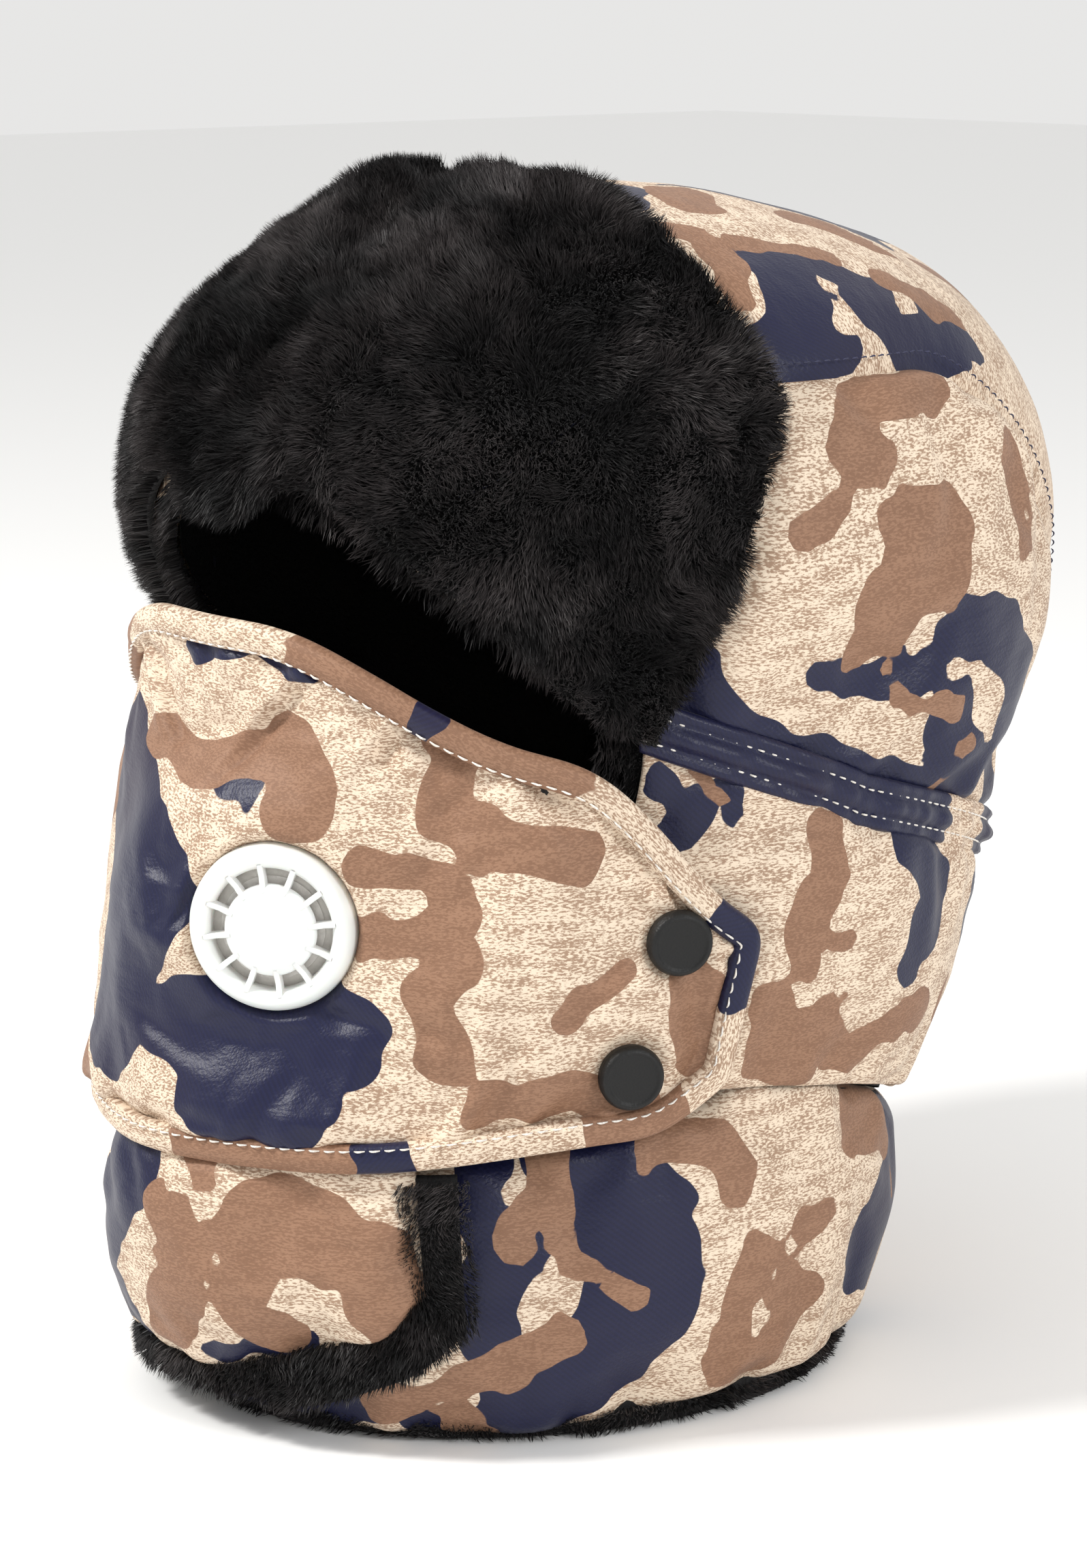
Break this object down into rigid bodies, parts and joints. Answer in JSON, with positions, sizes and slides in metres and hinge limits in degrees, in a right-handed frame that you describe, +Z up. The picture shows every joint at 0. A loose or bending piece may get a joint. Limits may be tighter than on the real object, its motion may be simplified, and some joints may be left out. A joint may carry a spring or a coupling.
{
  "type": "trapper hat",
  "caption": "Padded winter trapper hat: fur lining and turned-up fur front, wrap-over chin flaps and a removable face mask with an exhale valve.",
  "frame": {"origin": "middle of the hat's box, on the plane its hem stands on", "axes": "+Z up, the face toward -Y, the wearer's left toward +X"},
  "size_m": [0.206, 0.2666, 0.2982],
  "materials": {
    "fur_crown_lining": "short plush pile",
    "wadding": "soft wadding",
    "camo_shell_centre": "printed woven polyester",
    "camo_shell_left": "printed woven polyester",
    "camo_shell_right": "printed woven polyester",
    "camo_casing": "gathered printed polyester",
    "elastic": "knitted elastic",
    "camo_ear_left": "printed woven polyester",
    "camo_ear_right": "printed woven polyester",
    "fur_ear_left": "short plush pile",
    "fur_ear_right": "short plush pile",
    "fur_skirt": "short plush pile",
    "camo_skirt": "printed woven polyester",
    "fur_temple_left": "plush pile",
    "fur_temple_right": "plush pile",
    "fur_front_flap": "plush pile",
    "camo_flap_backing": "printed woven polyester",
    "fur_wrap_right": "short plush pile",
    "camo_wrap_right": "printed woven polyester",
    "fur_wrap_left": "short plush pile",
    "camo_wrap_left": "printed woven polyester",
    "hook_tape": "hook tape",
    "loop_tape": "loop tape",
    "camo_mask": "printed woven polyester",
    "mask_lining_fabric": "brushed knit",
    "binding_fabric": "folded printed tape",
    "valve_cover": "satin moulded",
    "valve_seat": "satin moulded",
    "valve_rubber": "thin moulded",
    "snap_cap_left": "fine grain",
    "snap_stud": "moulded",
    "snap_cap_right": "fine grain"
  },
  "bodies": {
    "crown": {"crown_lining": "fur_crown_lining", "crown_wadding": "wadding", "crown_centre_panel": "camo_shell_centre", "crown_side_left": "camo_shell_left", "crown_side_right": "camo_shell_right", "elastic_casing": "camo_casing", "rear_elastic": "elastic", "ear_shell_left": "camo_ear_left", "ear_shell_right": "camo_ear_right", "ear_lining_left": "fur_ear_left", "ear_lining_right": "fur_ear_right", "skirt_lining": "fur_skirt", "skirt_shell": "camo_skirt", "temple_fur_left": "fur_temple_left", "temple_fur_right": "fur_temple_right", "snap_stud_left_upper": "snap_stud", "snap_stud_left_lower": "snap_stud", "snap_stud_right_upper": "snap_stud", "snap_stud_right_lower": "snap_stud"},
    "front_flap": {"front_flap_fur": "fur_front_flap", "front_flap_backing": "camo_flap_backing"},
    "wrap_right": {"chin_wrap_right_lining": "fur_wrap_right", "chin_wrap_right_shell": "camo_wrap_right", "hook_patch": "hook_tape"},
    "wrap_left": {"chin_wrap_left_lining": "fur_wrap_left", "chin_wrap_left_shell": "camo_wrap_left", "loop_patch": "loop_tape"},
    "mask": {"mask_shell": "camo_mask", "mask_lining": "mask_lining_fabric", "mask_binding": "binding_fabric", "valve_cover": "valve_cover", "valve_seat": "valve_seat", "snap_cap_left_upper": "snap_cap_left", "snap_cap_left_lower": "snap_cap_left", "snap_cap_right_upper": "snap_cap_right", "snap_cap_right_lower": "snap_cap_right"},
    "valve_disc": {"valve_diaphragm": "valve_rubber"}
  },
  "joints": [
    {"name": "front_flap_fold", "type": "hinge", "parent": "crown", "child": "front_flap", "pos_m": [0, -0.10342, 0.22634], "axis": [1, 0, 0], "range_deg": [0, 35]},
    {"name": "right_wrap_open", "type": "hinge", "parent": "crown", "child": "wrap_right", "pos_m": [-0.08635, -0.00869, 0], "axis": [0, 0, -1], "range_deg": [0, 90]},
    {"name": "left_wrap_open", "type": "hinge", "parent": "crown", "child": "wrap_left", "pos_m": [0.08635, -0.00869, 0], "axis": [0, 0, 1], "range_deg": [0, 36]},
    {"name": "mask_pull_off", "type": "slide", "parent": "crown", "child": "mask", "axis": [0, -1, 0], "range_m": [0, 0.1]},
    {"name": "valve_disc_lift", "type": "slide", "parent": "mask", "child": "valve_disc", "axis": [0.6157, -0.788, 0], "range_m": [0, 0.0006]}
  ],
  "couplings": [
    {"joint": "left_wrap_open", "follows": "right_wrap_open", "ratio": 0.4}
  ]
}
